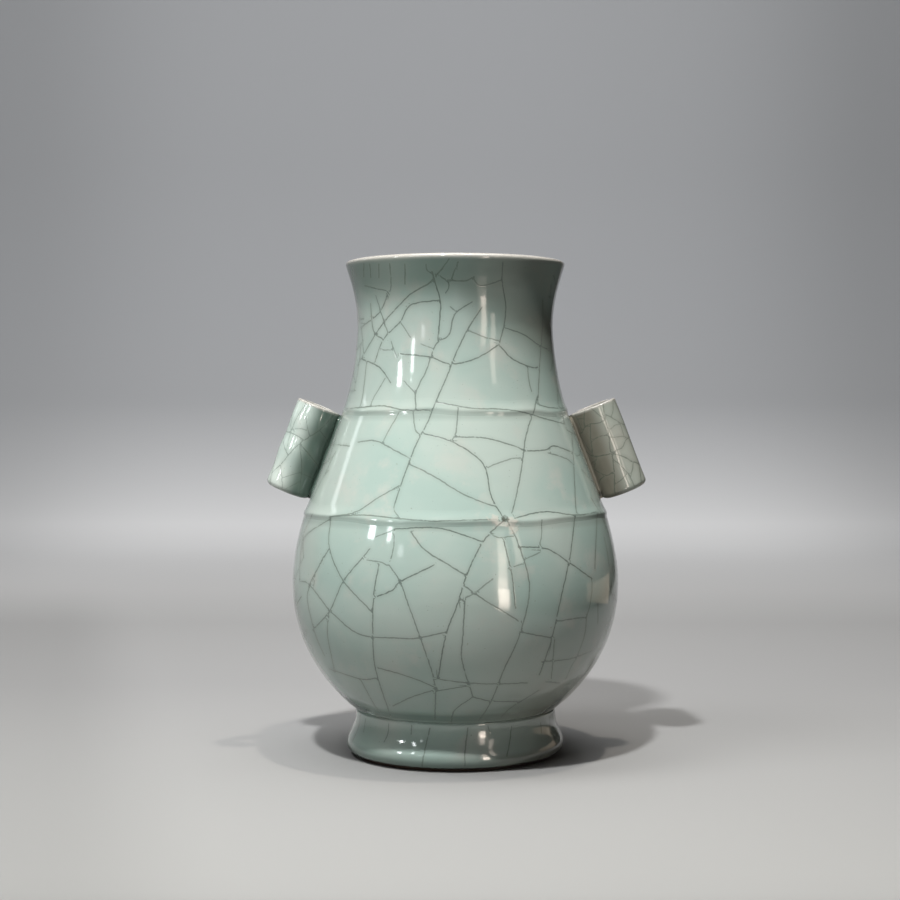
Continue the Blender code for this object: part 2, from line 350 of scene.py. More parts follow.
def onto_wall(pixels):
    """Points of the wall behind pixels, in metres. A pixel beside the vase gives none."""
    right = (pixels[:, 0] - FRAME_PX / 2) / FOCAL_PX
    down = (pixels[:, 1] - FRAME_PX / 2) / FOCAL_PX
    rays = np.stack([
        right,
        math.cos(PITCH) - down * math.sin(PITCH),
        -math.sin(PITCH) - down * math.cos(PITCH),
    ], axis=1)
    reach = EYE_DISTANCE + np.linspace(SEARCH_NEAR, SEARCH_FAR, SEARCH_STEPS)[None, :, None] * MM
    found = EYE + reach * (rays / rays[:, 1:2])[:, None, :]
    outside = np.hypot(found[..., 0], found[..., 1]) - radius_at(found[..., 2] / MM) * MM
    hit = (outside < 0).argmax(axis=1)
    rows = np.flatnonzero(hit > 0)
    far, near = outside[rows, hit[rows]], outside[rows, hit[rows] - 1]
    share = (near / (near - far))[:, None]
    return (1 - share) * found[rows, hit[rows] - 1] + share * found[rows, hit[rows]]


front_cracks = []
for routes in (NECK_ROUTES, SHOULDER_ROUTES, STRING_ROUTES, BELLY_ROUTES, FOOT_ROUTES):
    for route in routes:
        front_cracks.append(onto_wall(smooth_route(route, ROUTE_STEP_PX)))
print(len(front_cracks), "routes,", sum(len(c) for c in front_cracks), "points on the wall")

# %% [markdown]
# ## Crackle that grows by itself
#
# Behind the routes, inside the vase and on the ears, the cracks are grown. A sheet of glaze is cut in
# two across its long side, each half is cut again, and so on until the rooms are small. A slow wave then
# bends the whole sheet, so no line stays straight and every end still meets its neighbour.

# %% Growing cracks
CRACK_SEED = 11
CRACK_STEP = 0.35
CUT_TURN = 0.55
CUT_SHIFT = 0.16
BEND = 0.13
random = np.random.default_rng(CRACK_SEED)


def cut_in_two(room, point, direction):
    """The two halves of a convex room on either side of a line, and the two ends of the cut."""
    side = (room - point) @ np.array([-direction[1], direction[0]])
    halves, ends = ([], []), []
    for i in range(len(room)):
        j = (i + 1) % len(room)
        halves[side[i] > 0].append(room[i])
        if (side[i] > 0) != (side[j] > 0):
            end = room[i] + side[i] / (side[i] - side[j]) * (room[j] - room[i])
            ends.append(end)
            halves[0].append(end)
            halves[1].append(end)
    return np.array(halves[0]), np.array(halves[1]), ends


def room_area(room):
    """Area inside the corners of a room."""
    x, y = room[:, 0], room[:, 1]
    return abs(np.dot(x, np.roll(y, -1)) - np.dot(y, np.roll(x, -1))) / 2


def grow_cracks(width, height, room_size):
    """Cuts of a width by height sheet, as pairs of ends with the cut's age from 0, oldest, to 1."""
    sheet = np.array([(0, 0), (width, 0), (width, height), (0, height)], float)
    waiting, cuts = [(sheet, 0)], []
    while waiting:
        room, depth = waiting.pop()
        if room_area(room) < room_size**2 * random.uniform(0.5, 1.9):
            continue
        middle = room.mean(axis=0)
        spread = np.linalg.svd(room - middle)[2][0]
        turn = math.pi / 2 + random.uniform(-CUT_TURN, CUT_TURN)
        direction = np.array([
            spread[0] * math.cos(turn) - spread[1] * math.sin(turn),
            spread[0] * math.sin(turn) + spread[1] * math.cos(turn),
        ])
        shift = random.uniform(-CUT_SHIFT, CUT_SHIFT) * math.sqrt(room_area(room))
        first, second, ends = cut_in_two(room, middle + shift * spread, direction)
        if len(ends) != 2 or min(len(first), len(second)) < 3:
            continue
        cuts.append((ends[0], ends[1], depth))
        waiting += [(first, depth + 1), (second, depth + 1)]
    deepest = max(cut[2] for cut in cuts)
    return [(a, b, depth / deepest) for a, b, depth in cuts]


def bent_sheet(points, width, size):
    """A sheet's points moved by slow waves that agree where its two sides meet."""
    around = points[:, 0] / width * math.tau
    turns = max(1, round(width / (5 * size)))
    sway_x = np.sin(turns * around + points[:, 1] / (0.9 * size)) + 0.6 * np.sin(2 * turns * around + 1.3)
    sway_y = np.sin(turns * around + 2.1) + 0.5 * np.sin(3 * turns * around - points[:, 1] / (0.7 * size))
    return points + BEND * size * np.stack([sway_x, sway_y], axis=1)


def grown_on(line, room_size, seam=math.pi / 2):
    """Cracks grown on a turned surface. The line is (radius, height) in millimetres, from top to bottom.

    The first crack runs down the seam, the angle where the two sides of the sheet meet.
    """
    lengths = np.concatenate([[0], np.cumsum(np.linalg.norm(np.diff(line, axis=0), axis=1))])
    width = math.tau * line[:, 0].mean()
    made = []
    down_seam = [(np.zeros(2), np.array([0.0, lengths[-1]]), 0.0)]
    for start, end, age in down_seam + grow_cracks(width, lengths[-1], room_size):
        count = max(3, int(np.linalg.norm(end - start) / CRACK_STEP))
        t = np.linspace(0, 1, count)[:, None]
        flat = bent_sheet((1 - t) * start + t * end, width, room_size)
        flat = flat[(flat[:, 1] >= 0) & (flat[:, 1] <= lengths[-1])]
        turn = flat[:, 0] / width * math.tau + seam
        radius = np.interp(flat[:, 1], lengths, line[:, 0])
        height = np.interp(flat[:, 1], lengths, line[:, 1])
        points = np.stack([radius * np.cos(turn), radius * np.sin(turn), height], axis=1)
        made.append((points * MM, age))
    return made


print(f"grown cracks have a point every {CRACK_STEP} mm and start from seed {CRACK_SEED}")

# %% [markdown]
# The routes cover only what the lens sees well. Grown cracks that fall in that window are left out,
# so the two nets meet near the sides of the vase.

# %% One net of cracks
WINDOW_HALF_TURN = math.radians(66)
LONG_CRACK = 26 * MM
SHORT_INK = 0.45
LONG_INK = 0.4
CHANCE_INK = 0.15
AGE_FADE = 0.35
ROOM_SIZES = {"neck": 19.0, "shoulder": 21.0, "belly": 23.0, "foot": 20.0, "inside": 19.0}
neck_inside = inward(neck_line, WALL)
body_inside = inward(np.vstack([shoulder_line, belly_line[1:]]), WALL)[::3]


def behind_window(points):
    """The points of a crack that lie outside what the routes cover."""
    facing = np.arctan2(points[:, 0], -points[:, 1])
    return points[np.abs(facing) > WINDOW_HALF_TURN]


net_points, net_ink = [], []


def inked(points, ink):
    """Adds one crack to the net, with the same ink all along it."""
    net_points.append(points)
    net_ink.append(np.full(len(points), ink))


for points in front_cracks:
    length = np.linalg.norm(np.diff(points, axis=0), axis=1).sum()
    inked(points, SHORT_INK + LONG_INK * min(1, length / LONG_CRACK) + random.uniform(0, CHANCE_INK))
outer_lines = {"neck": neck_line, "shoulder": shoulder_line, "belly": belly_line, "foot": foot_line}
for section, line in outer_lines.items():
    for points, age in grown_on(line, ROOM_SIZES[section]):
        inked(behind_window(points), 1.0 - AGE_FADE * age)
for line in (neck_inside, body_inside):
    for points, age in grown_on(line, ROOM_SIZES["inside"]):
        inked(points, 1.0 - AGE_FADE * age)
crack_points = np.vstack(net_points)
crack_ink = np.concatenate(net_ink)


def tree_of(points):
    """A search tree that finds the nearest of many points."""
    tree = kdtree.KDTree(len(points))
    for i, point in enumerate(points):
        tree.insert(point, i)
    tree.balance()
    return tree


body_tree = tree_of(crack_points)
print(len(crack_points), "crack points in one tree")

# %% [markdown]
# ## From an outline to glazed clay
#
# A Screw modifier would turn the outlines, but the wall was pressed by hand: it isn't quite round, and
# faint throwing rings run along it. So the rings are laid out with numpy, row by row, and each point is
# moved a fraction of a millimetre.

# %% Hand-pressed rings
AROUND = 384
OVAL = 0.22
DENTS = 0.09
RINGS = 0.012


def hand_pressed(angle, height_mm):
    """How far a throwing hand leaves the wall from true, in millimetres."""
    oval = np.sin(2 * angle + 0.6) + 0.5 * np.sin(3 * angle + height_mm / 40.0)
    dents = np.sin(7 * angle + height_mm / 9.0) * np.sin(height_mm / 13.0 + 2 * angle)
    rings = np.sin(height_mm * 1.15 + 1.2 * np.sin(angle)) * (0.6 + 0.4 * np.sin(3 * angle))
    return OVAL * oval + DENTS * dents + RINGS * rings


def ring_faces(rows, around, closed):
    """Quads between rows of points; a closed line also joins its last row to its first."""
    row = np.arange(rows if closed else rows - 1)[:, None]
    column = np.arange(around)[None, :]
    below, beside = (row + 1) % rows, (column + 1) % around
    quads = [row * around + column, below * around + column, below * around + beside, row * around + beside]
    return np.stack(np.broadcast_arrays(*quads), axis=-1).reshape(-1, 4)


def round_points(radius, angle, height):
    """Points in metres from rows of radius and height in millimetres."""
    points = np.stack(np.broadcast_arrays(radius * np.cos(angle), radius * np.sin(angle), height), axis=-1)
    return points.reshape(-1, 3) * MM


def mesh_piece(name, points, faces):
    """A smooth-shaded object made from points and faces."""
    mesh = bpy.data.meshes.new(name)
    mesh.from_pydata(points.tolist(), [], [list(f) for f in faces])
    mesh.update()
    mesh.shade_smooth()
    piece = bpy.data.objects.new(name, mesh)
    scene.collection.objects.link(piece)
    return piece


strays = hand_pressed(np.linspace(0, math.tau, AROUND)[:, None], outline[None, :, 1])
print(f"the wall strays {np.abs(strays).max():.2f} mm at most")

# %% [markdown]
# Every point of a mesh keeps the way to its nearest crack. A distance alone would blur between the points,
# but this arrow changes sign across a crack, so the line stays sharp there. Glaze also gathers while it
# is molten, and how thick it lies is kept on the points too, together with painted shade: under the lip,
# in the crease over the foot, below the strings, low on the foot, on the side away from the key lamp and
# on the ears by the wall.

# %% What the points of a mesh keep
def numbers(mesh, name, values):
    """Adds a number, or a row of three, to every point of a mesh."""
    kind, field = ("FLOAT", "value") if values.ndim == 1 else ("FLOAT_VECTOR", "vector")
    layer = mesh.attributes.new(name, kind, "POINT")
    layer.data.foreach_set(field, np.ascontiguousarray(values, np.float32).ravel())


def crackle(mesh, points, tree, tree_points, ink):
    """Stores the way to the nearest crack and that crack's ink on every point."""
    nearest = np.array([tree.find(p)[1] for p in points])
    arrows = tree_points[nearest] - points
    numbers(mesh, "to_crack", arrows)
    numbers(mesh, "crack_far", np.linalg.norm(arrows, axis=1))
    numbers(mesh, "crack_ink", ink[nearest])


def smooth_step(low, high, value):
    """0 at low, 1 at high, smooth between; low may be the larger."""
    t = np.clip((value - low) / (high - low), 0, 1)
    return t * t * (3 - 2 * t)


def pool_and_shade_depth(height_mm, angle):
    """How dark the glaze is painted: low on the belly, round the foot, by the strings and under the lip.

    Partly thick glaze, partly painted shade. At +X it is darker on the belly and reaches lower on the
    neck, as painted shade on the side away from the key lamp.
    """
    # Crease over the foot and the lower belly: partly thick glaze, partly painted shade.
    crease = smooth_step(3.6, 0.4, np.abs(height_mm - FOOT_SEAM[1] - 2.2))
    under = 0.36 * smooth_step(88, 55, height_mm) + 0.4 * smooth_step(50, 23, height_mm)
    crease = crease + under * smooth_step(FOOT_SEAM[1] - 0.9, FOOT_SEAM[1] + 2.1, height_mm)
    # Just below each string: partly thick glaze, partly painted shade.
    beside = [smooth_step(3.5, 1.0, np.abs(height_mm - seam[1] + 2.0)) for seam in (UPPER_SEAM, LOWER_SEAM)]
    # Painted shade: the foot's lowest band, and the lower belly towards +X, away from the key lamp.
    to_right = np.maximum(np.cos(angle), 0)
    low = smooth_step(9, 4, height_mm) + 0.45 * to_right * smooth_step(95, 40, height_mm)
    # Painted shade under the lip; at +X it reaches lower, but is lighter just below the lip.
    rolled = smooth_step(205 - 36 * to_right, 223 - 18 * to_right, height_mm)
    rolled = rolled * (1.0 - 1.1 * to_right ** 2 * smooth_step(200, 219, height_mm))
    return np.clip(0.68 * crease + 0.3 * sum(beside) + rolled + low, 0, 1)


for high in (5, 24, 60, 140, 220):
    print(f"glaze {high} mm up pools {pool_and_shade_depth(high, math.pi):.2f} at -X, {pool_and_shade_depth(high, 0.0):.2f} at +X")

# %% [markdown]
# A finish can only be baked to a picture when the faces lie flat side by side. Unwrapping by angle would
# tear the rings apart; a turned piece simply unrolls into straight strips.

# %% Flat maps
INNER_DEPTH = 2.0
INNER_ROOM = 0.3
MAP_EDGE = 0.005
STRIP_START = 0.01
STRIP_SHARE = 0.97
CAP_MIDDLE = 0.4965
CAP_RADIUS = 0.003


def bake_map(mesh, line, around, strips):
    """Lays a turned piece out flat: strips of a turn, one over another.

    Rows inside the wall get less room. The caps of an open line go between the first two strips.
    """
    inner = line[:, 0] < radius_at(line[:, 1]) - INNER_DEPTH
    steps = np.linalg.norm(np.roll(line, -1, axis=0) - line, axis=1) * np.where(inner, INNER_ROOM, 1.0)
    rows = min(len(line), len(mesh.polygons) // around)
    high = np.concatenate([[0], np.cumsum(steps[:rows])]) / steps[:rows].sum()
    column = np.arange(around)
    left = column * strips / around % 1.0
    right = left + strips / around
    u = MAP_EDGE + (1 - 2 * MAP_EDGE) * np.stack([left, left, right, right], axis=1)[None, :, :]
    v = np.stack([high[:-1], high[1:], high[1:], high[:-1]], axis=1)[:, None, :]
    v = (STRIP_START + STRIP_SHARE * v + (column * strips // around)[None, :, None]) / strips
    flat = np.stack(np.broadcast_arrays(u, v), axis=-1).reshape(-1, 2)
    turn = np.arange(len(mesh.loops) - len(flat)) * math.tau / around
    cap_u = 0.25 + 0.5 * (turn >= math.tau) + CAP_RADIUS * np.cos(turn)
    caps = np.stack([cap_u, CAP_MIDDLE + CAP_RADIUS * np.sin(turn)], axis=1)
    layer = mesh.uv_layers.new(name="OFBake")
    layer.data.foreach_set("uv", np.vstack([flat, caps]).astype(np.float32).ravel())


print(f"flat maps leave {MAP_EDGE:.1%} free at each side")

# %% [markdown]
# ## Neck, shoulder, belly and foot
#
# Each section is a closed wall of its own, as the CAD model has it. The lip is a half round where the
# glaze drew away and left a pale edge; the foot's pad is bare clay, because the vase was fired standing
# on it. One function turns all four lines.

# %% Sections
PRESSED_FROM = 20.0


def turned_piece(name, line, thin, closed=True):
    """A closed piece from a line in millimetres that runs down the outer side.

    Thin is the share of bare edge at each point of the line.
    """
    angle = np.arange(AROUND) * math.tau / AROUND
    height = np.broadcast_to(line[:, 1:2], (len(line), AROUND))
    true = np.broadcast_to(line[:, :1], height.shape)
    radius = true + hand_pressed(angle[None, :], line[:, 1:2]) * np.minimum(1, line[:, :1] / PRESSED_FROM)
    points, ideal = (round_points(r, angle, height) for r in (radius, true))
    faces = ring_faces(len(line), AROUND, closed).tolist()
    if not closed:
        faces += [list(range(AROUND)), list(range(len(points) - AROUND, len(points)))[::-1]]
    piece = mesh_piece(name, points, faces)
    bake_map(piece.data, line, AROUND, 2)
    crackle(piece.data, ideal, body_tree, crack_points, crack_ink)
    numbers(piece.data, "glaze_thin", np.repeat(thin, AROUND))
    numbers(piece.data, "glaze_pool", pool_and_shade_depth(points[:, 2] / MM, np.tile(angle, len(line))))
    numbers(piece.data, "bare_clay", smooth_step(FOOT_GLAZE_END[1] + 0.1, FOOT_STEP[1], points[:, 2] / MM))
    return piece


lip = rounded_end(neck_inside[0], neck_line[0], 0.7, 16)
neck_loop = np.vstack([lip, neck_line, neck_inside[::-2]])
neck = turned_piece("glazed_neck", neck_loop, smooth_step(229.8, 232.2, neck_loop[:, 1]))

shoulder_inside = inward(shoulder_line, WALL)[::-2]
shoulder_loop = np.vstack([shoulder_line, shoulder_inside])
shoulder = turned_piece("glazed_shoulder", shoulder_loop, np.zeros(len(shoulder_loop)))

belly_inside = inward(belly_line, WALL)
belly_inside = belly_inside[belly_inside[:, 1] > FLOOR_TOP + WALL][::-2]
well = curve((1.0, FLOOR_TOP), (30.0, FLOOR_TOP), (44.0, FLOOR_TOP + 0.6), belly_inside[0], 16)
under = curve(FOOT_INNER_TOP, (36.0, FLOOR_UNDER), (20.0, FLOOR_UNDER), (1.0, FLOOR_UNDER), 10)
belly_path = np.vstack([well, belly_inside, belly_line, under])
belly = turned_piece("glazed_belly", belly_path, np.zeros(len(belly_path)), closed=False)

heel = arc((FOOT_PAD[0], 2.4), 2.4, 270, 190, 6)
foot_loop = np.vstack([foot_line, heel, straight(heel[-1], FOOT_INNER_TOP, 8), [FOOT_INNER_TOP]])
foot = turned_piece("glazed_foot", foot_loop, np.zeros(len(foot_loop)))
for piece in (neck, shoulder, belly, foot):
    print(piece.name, len(piece.data.polygons), "faces")

# %% [markdown]
# ## Raised strings
#
# A thin coil of clay was pressed round each seam and smoothed with a finger, so it wanders up and down
# and grows thick and thin. A torus would be too even, so the coil is a strip of rows that rides on the
# wall. Its skirts dip just under the wall, which leaves a soft crease on either side.

# %% Strings
STRING_ABOVE = 4.4
STRING_BELOW = 2.4
STRING_PROUD = 0.5
STRING_SOFT = 0.7
STRING_SKIRT = 0.8
SKIRT_DIP = 0.25
STRING_ROOT = 1.2
STRING_ROWS = 25


def wander(angle, phase):
    """How far a string strays from its seam along the wall, in millimetres."""
    return 0.45 * np.sin(3 * angle + phase) + 0.35 * np.sin(7 * angle + 2 * phase) + 0.2 * np.sin(13 * angle)


def ridge(across):
    """How high a string stands: a long slope from above, a short one from below."""
    above = (1 - np.clip(across / STRING_ABOVE, 0, 1)) ** 1.8
    return np.where(across > 0, above, smooth_step(-STRING_BELOW, 0.0, across))


def string_piece(name, seam, phase):
    """A low rounded ridge that follows the wall on either side of a seam."""
    angle = np.arange(AROUND) * math.tau / AROUND
    across = np.linspace(STRING_ABOVE + STRING_SKIRT, -STRING_BELOW - STRING_SKIRT, STRING_ROWS)[:, None]
    height = seam[1] + wander(angle, phase)[None, :] + across
    rise = np.mean([ridge(across + s) for s in np.linspace(-STRING_SOFT, STRING_SOFT, 8)], axis=0)
    swell = 1 + 0.3 * np.sin(5 * angle + phase)[None, :]
    beyond = np.maximum(across - STRING_ABOVE, -STRING_BELOW - across)
    dip = -SKIRT_DIP * smooth_step(0.0, STRING_SKIRT, beyond)
    radius = radius_at(height) + hand_pressed(angle[None, :], height) + STRING_PROUD * swell * rise + dip
    radius = np.vstack([radius, radius[[-1, 0]] - STRING_ROOT])
    height = np.vstack([height, height[[-1, 0]]])
    points = round_points(radius, angle, height)
    piece = mesh_piece(name, points, ring_faces(STRING_ROWS + 2, AROUND, True).tolist())
    bake_map(piece.data, np.stack([radius.mean(axis=1), height.mean(axis=1)], axis=1), AROUND, 8)
    crackle(piece.data, round_points(radius_at(height), angle, height), body_tree, crack_points, crack_ink)
    crest = np.repeat(rise[:, 0], AROUND) * np.tile(0.5 + 0.5 * np.sin(9 * angle + 3 * phase), STRING_ROWS)
    numbers(piece.data, "glaze_thin", np.concatenate([0.12 * crest, np.zeros(2 * AROUND)]))
    # Painted shade below the crest, partly thick glaze.
    under = np.repeat(smooth_step(0.4, -0.6, across[:, 0]), AROUND)
    numbers(piece.data, "glaze_pool", np.concatenate([0.3 * under, np.zeros(2 * AROUND)]))
    return piece


upper_string = string_piece("glazed_upper_string", UPPER_SEAM, 0.8)
lower_string = string_piece("glazed_lower_string", LOWER_SEAM, 2.9)
print("strings:", upper_string.name, lower_string.name)

# %% [markdown]
# ## Ears
#
# Each ear is a straight tube of rolled clay that arrows could be stood in. Its upper end is cut square
# and shows a thin pale rim; its lower end was rubbed round. The glaze on it is thinner, so its crackle is
# finer than the body's. The right ear has taken more of the brown stain, which is partly painted shade,
# and the left one has a paler tint, partly painted light on its lit side. Both are painted darker towards
# the wall as shade, the right one in brown. The left one shows the slow waves of the fingers that
# rolled it.

# %% Ears
EAR_RADIUS = 10.6
EAR_BORE = 7.2
EAR_LENGTH = 43.5
EAR_DOWN_SLOPE = 24.2
EAR_STAND_OFF = 1.1
EAR_AROUND = 128
BORE_ROUND = 0.7
RIM_ROUND = 0.9
TAIL_ROUND = 2.4
FINGER_WAVE = 16.2
FINGER_PHASE = 2.81
slope_up = np.array(UPPER_SEAM) - np.array(LOWER_SEAM)
slope_up /= np.linalg.norm(slope_up)
slope_out = np.array([slope_up[1], -slope_up[0]])
ear_middle = np.array(UPPER_SEAM) - EAR_DOWN_SLOPE * slope_up + (EAR_RADIUS + EAR_STAND_OFF) * slope_out


def ear_axes(side, stray=0.0):
    """Place of an ear as a matrix: its Z runs up the tube, its X away from the wall; side is 1 at +X."""
    turn = Matrix.Rotation(math.atan2(slope_up[0], slope_up[1]), 4, "Y")
    spot = Matrix.Translation(((ear_middle[0] + stray) * MM, 0.0, ear_middle[1] * MM))
    half_turn = Matrix.Rotation(0.0 if side > 0 else math.pi, 4, "Z")
    return half_turn @ spot @ turn


def ear_line():
    """Wall of the tube about its own axis, down the outside and up the bore."""
    top, bottom = EAR_LENGTH / 2, -EAR_LENGTH / 2
    return np.vstack([
        arc((EAR_BORE + BORE_ROUND, top - BORE_ROUND), BORE_ROUND, 180, 90, 5),
        arc((EAR_RADIUS - RIM_ROUND, top - RIM_ROUND), RIM_ROUND, 90, 0, 6),
        straight((EAR_RADIUS, top - 1.6), (EAR_RADIUS, bottom + 3.2), 44),
        arc((EAR_RADIUS - TAIL_ROUND, bottom + TAIL_ROUND), TAIL_ROUND, 0, -90, 9),
        arc((EAR_BORE + BORE_ROUND, bottom + BORE_ROUND), BORE_ROUND, -90, -180, 5),
        straight((EAR_BORE, bottom + 2.0), (EAR_BORE, top - 1.0), 18),
    ])


def ear_piece(name, side, squeeze, swell, waves, room):
    """A glazed tube; swell is how much thicker than planned, in millimetres, the potter rolled it.

    Squeeze turns its unevenness about the tube, waves is the height of the finger waves along it, and
    room is how wide its glaze crackles.
    """
    line = ear_line()
    angle = np.arange(EAR_AROUND) * math.tau / EAR_AROUND
    pressed = 0.10 * np.sin(2 * angle + squeeze) + 0.06 * np.sin(5 * angle + line[:, 1:2] / 5 + squeeze)
    pressed = pressed + waves * np.sin(math.tau * line[:, 1:2] / FINGER_WAVE + FINGER_PHASE)
    radius = line[:, :1] * (1 + swell / EAR_RADIUS) + pressed
    height = line[:, 1:2] + 0.25 * np.sin(angle + squeeze)[None, :] * (np.abs(line[:, 1:2]) / 21)
    points = round_points(radius, angle, height)
    piece = mesh_piece(name, points, ring_faces(len(line), EAR_AROUND, True).tolist())
    bake_map(piece.data, line, EAR_AROUND, 1)
    outside = np.linspace((EAR_RADIUS, EAR_LENGTH / 2), (EAR_RADIUS, -EAR_LENGTH / 2), 20)
    grown = grown_on(outside, room, seam=math.pi)
    tube_points = np.vstack([p for p, age in grown])
    ink = np.concatenate([np.full(len(p), 0.9 - 0.4 * age) for p, age in grown])
    crackle(piece.data, round_points(line[:, :1], angle, height), tree_of(tube_points), tube_points, ink)
    rim = smooth_step(EAR_LENGTH / 2 - 1.6, EAR_LENGTH / 2 - 0.4, line[:, 1])
    numbers(piece.data, "glaze_thin", np.repeat(rim, EAR_AROUND))
    place = ear_axes(side, swell)
    world = points @ np.array(place.to_3x3()).T + np.array(place.translation)
    # Painted shade: the glaze darkens towards the shoulder, where tube and wall shade each other.
    off_wall = np.hypot(world[:, 0], world[:, 1]) / MM - radius_at(world[:, 2] / MM)
    numbers(piece.data, "glaze_pool", smooth_step(19.0, 7.5, off_wall))
    piece.matrix_world = place
    return piece


right_ear = ear_piece("glazed_right_ear", 1, squeeze=0.4, swell=0.6, waves=0.0, room=8.5)
left_ear = ear_piece("glazed_left_ear", -1, squeeze=2.2, swell=0.0, waves=0.17, room=11.0)
print("ears at", np.round(ear_middle, 1), "mm")

# %% [markdown]
# ## Lutings
#
# Where a tube meets the shoulder the slip was wiped into a small hollow fillet. It is lofted here: one
# cross-section, hollow on both flanks, is carried along the tube and tucked into tube and wall.

# %% Lutings
LUTING_HALF = 21.0
LUTING_ROWS = 40


def luting_section():
    """Half-hollow section across a tube: x is away from the wall, y is across, in millimetres."""
    wall = -(EAR_RADIUS + EAR_STAND_OFF)
    flank = np.array([(wall - 0.9, 4.4), (wall - 0.05, 4.0), (wall + 0.4, 3.4), (wall + 0.9, 3.2),
                      (wall + 1.6, 3.4), (wall + 2.6, 4.0)])
    return np.vstack([flank, flank[::-1] * (1, -1)])


def luting_piece(name, side):
    """The fillet along one ear, drawn in at both ends; painted dark all over as shade, with no crack."""
    section = luting_section()
    along = np.linspace(LUTING_HALF, -LUTING_HALF, LUTING_ROWS)
    draw = 1 - 0.5 * smooth_step(0.8, 1.0, np.abs(along) / LUTING_HALF)
    count = len(section)
    rows = []
    for height, share in zip(along, draw):
        rows.append(np.stack([section[:, 0], section[:, 1] * share, np.full(count, height)], axis=1))
    points = np.vstack(rows) * MM
    faces = ring_faces(LUTING_ROWS, count, False)[:, ::-1].tolist()
    faces += [list(range(count)), [(LUTING_ROWS - 1) * count + i for i in reversed(range(count))]]
    piece = mesh_piece(name, points, faces)
    numbers(piece.data, "to_crack", np.full(points.shape, 1.0))
    # The whole fillet takes the dark tone: painted shade in the hollow between tube and wall.
    for layer, value in (("crack_far", 1.0), ("crack_ink", 0.0), ("glaze_thin", 0.0), ("glaze_pool", 1.0)):
        numbers(piece.data, layer, np.full(len(points), value))
    piece.matrix_world = ear_axes(side)
    return piece


right_luting = luting_piece("glazed_right_luting", 1)
left_luting = luting_piece("glazed_left_luting", -1)
print("lutings:", right_luting.name, left_luting.name)

# %% [markdown]
# ## Shader maths as Python
#
# A small class wraps one output socket of a node tree. Sums and products of wrapped sockets add their
# Math nodes, so a finish below reads like a formula. Everything else comes from one method.

# %% Sockets
class Wire:
    """One output of a shader tree that can be reckoned with."""

    def __init__(self, tree, socket):
        self.tree = tree
        self.socket = socket

    def node(self, kind, settings=None, out=0, **links):
        """Adds a node: settings first, then values or wires by input name or number."""
        made = self.tree.nodes.new("ShaderNode" + kind)
        for key, value in (settings or {}).items():
            if key == "stops":
                ramp = made.color_ramp.elements
                while len(ramp) < len(value):
                    ramp.new(1.0)
                for stop, (spot, tone) in zip(ramp, value):
                    stop.position = spot
                    stop.color = tone
            else:
                setattr(made, key, value)
        for key, value in links.items():
            by_number = key[0] == "_" and key[1:].isdigit()
            entry = int(key[1:]) if by_number else key.replace("_", " ")
            self.plug(made.inputs[entry], value)
        return Wire(self.tree, made.outputs[out])

    def plug(self, entry, value):
        """Links a wire to an input, or sets the input to a plain value."""
        if isinstance(value, Wire):
            self.tree.links.new(value.socket, entry)
        else:
            entry.default_value = value

    def maths(self, operation, first, second=0.0):
        return self.node("Math", {"operation": operation}, _0=first, _1=second)

    def __add__(self, other):
        return self.maths("ADD", self, other)

    __radd__ = __add__

    def __mul__(self, other):
        return self.maths("MULTIPLY", self, other)

    __rmul__ = __mul__

    def __sub__(self, other):
        return self.maths("SUBTRACT", self, other)

    def __rsub__(self, other):
        return self.maths("SUBTRACT", other, self)

    def __truediv__(self, other):
        return self.maths("DIVIDE", self, other)

    def __rtruediv__(self, other):
        return self.maths("DIVIDE", other, self)

    def least(self, other):
        return self.maths("MINIMUM", self, other)

    def most(self, other):
        return self.maths("MAXIMUM", self, other)

    def step(self, low, high):
        """0 below low, 1 above high, smooth between; low may be the larger."""
        return self.node(
            "MapRange",
            {"interpolation_type": "SMOOTHSTEP"},
            Value=self,
            From_Min=low,
            From_Max=high,
        )

    def vector(self, operation, other, out=0):
        return self.node("VectorMath", {"operation": operation}, out=out, _0=self, _1=other)

    def blend(self, start, end):
        """A colour between two colours, with self as the share of the second."""
        return self.node("Mix", {"data_type": "RGBA"}, out=2, _0=self, _6=start, _7=end)


def finish_start(name):
    """A new material with its Principled shader and a wire at the object's own coordinates."""
    made = bpy.data.materials.new(name)
    made.use_nodes = True
    tree = made.node_tree
    place = Wire(tree, tree.nodes.new("ShaderNodeTexCoord").outputs["Object"])
    return made, tree.nodes["Principled BSDF"], place


def colour(red, green, blue):
    """A linear colour from the 0 to 255 numbers of a colour picker."""
    shares = [v / 255 for v in (red, green, blue)]
    return tuple(s / 12.92 if s <= 0.04045 else ((s + 0.055) / 1.055) ** 2.4 for s in shares) + (1.0,)


print("wires add, subtract, multiply and divide; node() makes the rest")

# %% [markdown]
# ## Glaze
#
# Thick celadon is a cloudy glass full of tiny bubbles. Its colour drifts slowly from blue-green to
# grey, it turns pinkish where it ran thin and dark where it collected, and stained cracks cross it with a
# faint halo. Its dark tones also serve as painted shade, the brown one as a painted warm reflection too,
# and the pale tint partly as painted light. These are its colours, as a colour picker would show them.

# %% Glaze colours
CELADON = colour(163, 175, 167)
CELADON_COOL = colour(152, 170, 162)
CELADON_GREY = colour(166, 174, 166)
THIN_EDGE = colour(163, 160, 153)
BEIGE = colour(160, 153, 140)
# A paler tint, partly painted light on the lit side of the left ear.
PALE_AND_LIT = colour(206, 214, 207)
IRON_CLAY = colour(58, 46, 37)
